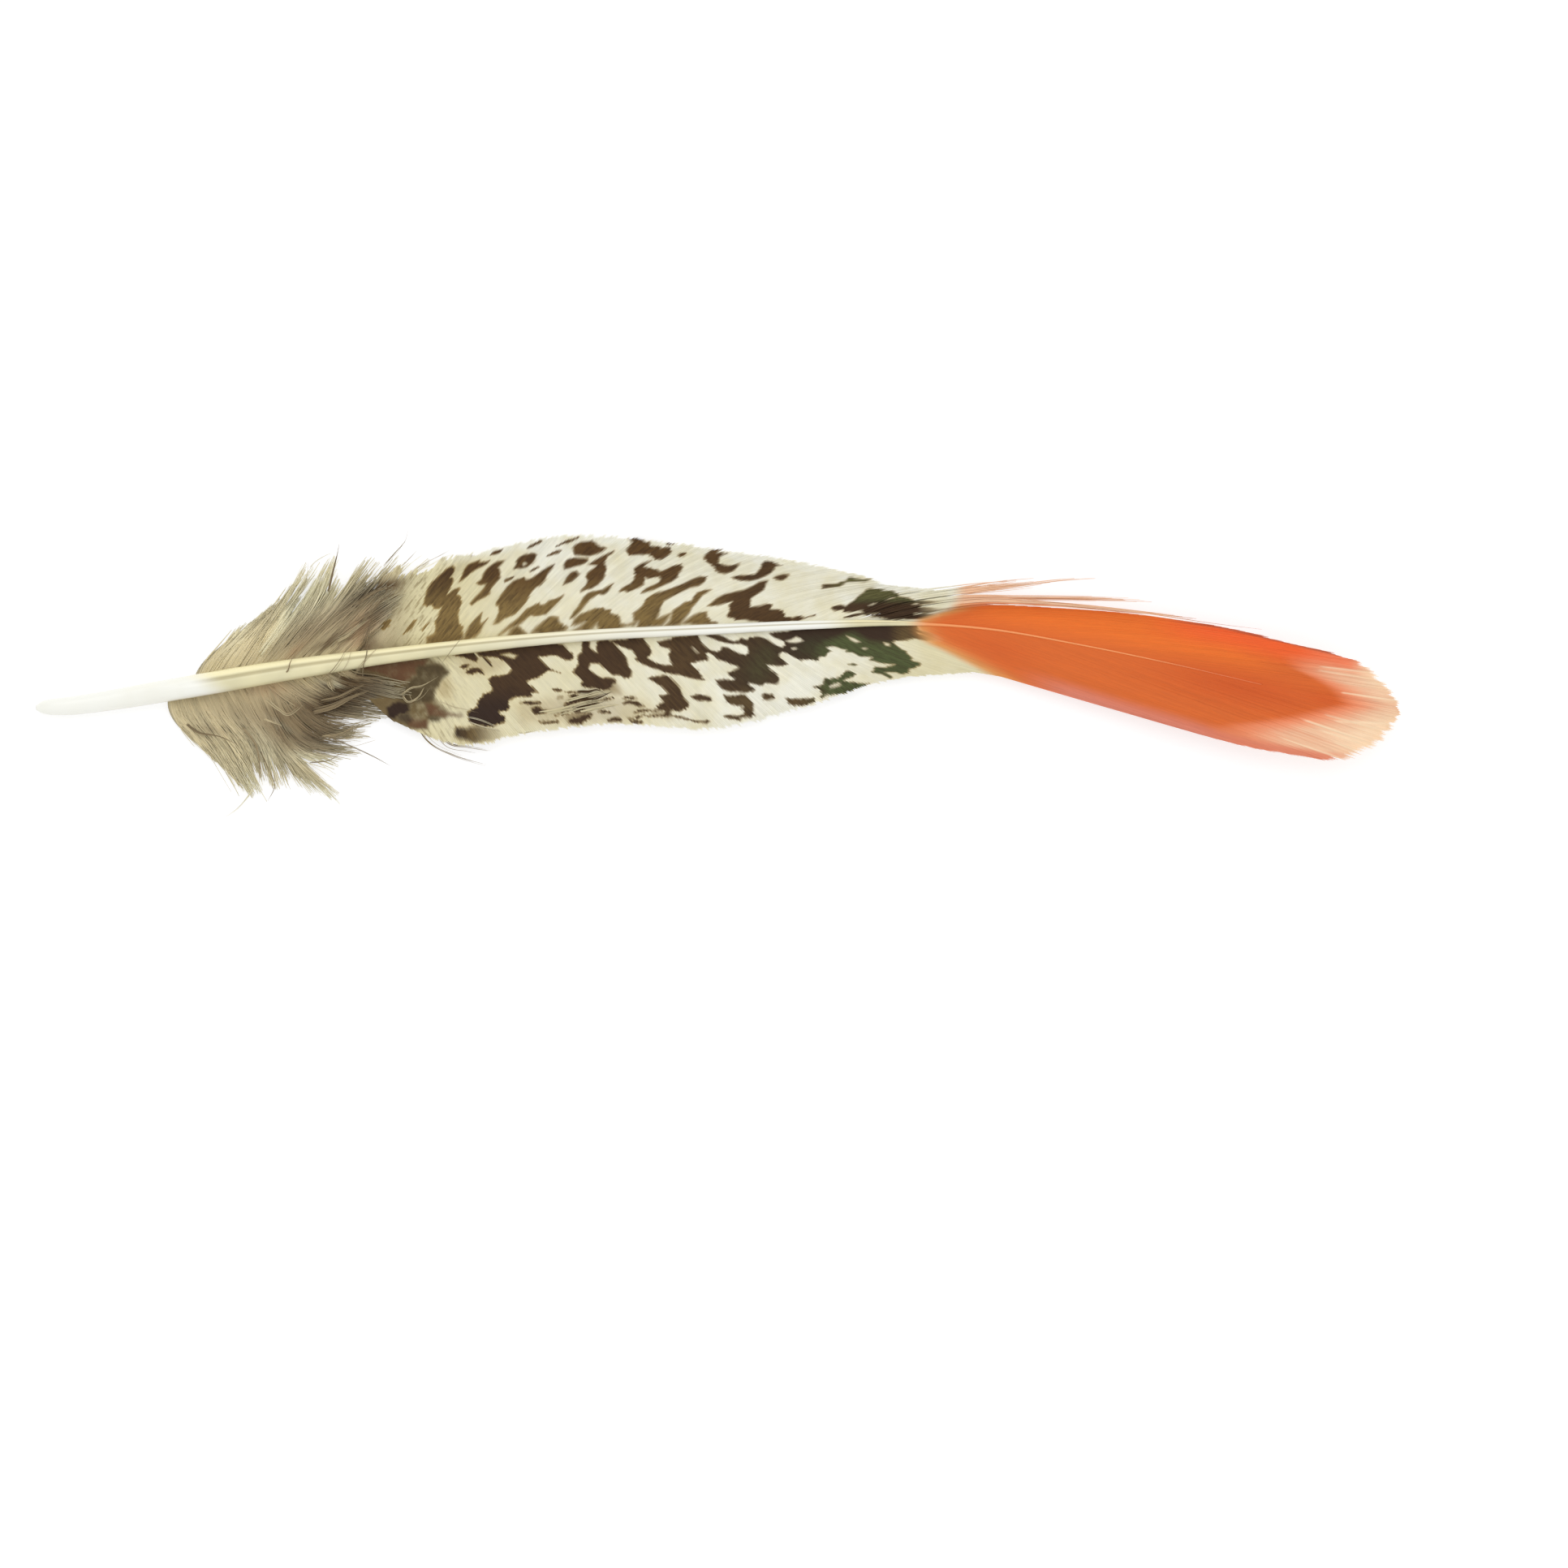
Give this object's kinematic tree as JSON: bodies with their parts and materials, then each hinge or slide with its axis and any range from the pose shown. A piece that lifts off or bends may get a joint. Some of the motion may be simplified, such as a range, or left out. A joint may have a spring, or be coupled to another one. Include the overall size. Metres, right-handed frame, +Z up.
{
  "type": "lady amherst pheasant feather",
  "caption": "Long tapering bird feather lying on its back: bare quill, downy base, mottled cream and brown vane, narrow waist and a rounded orange tip.",
  "frame": {"origin": "centre of the bounding box on the floor the feather lies on", "axes": "+X from the quill's tip to the orange tip, +Y to the upper vane as seen from above, +Z up out of the grooved underside"},
  "size_m": [0.1499, 0.0316, 0.0047],
  "materials": {
    "mottled_vane": "cream barbs with brown-black blotches, soft sheen",
    "orange_vane": "orange barbs, satin, paler and translucent at the end",
    "down": "loose tan and grey-brown barbs, matt",
    "quill": "smooth keratin, ivory to pale yellow, slightly translucent"
  },
  "bodies": {
    "root": {"feather": "mottled_vane"}
  },
  "joints": []
}
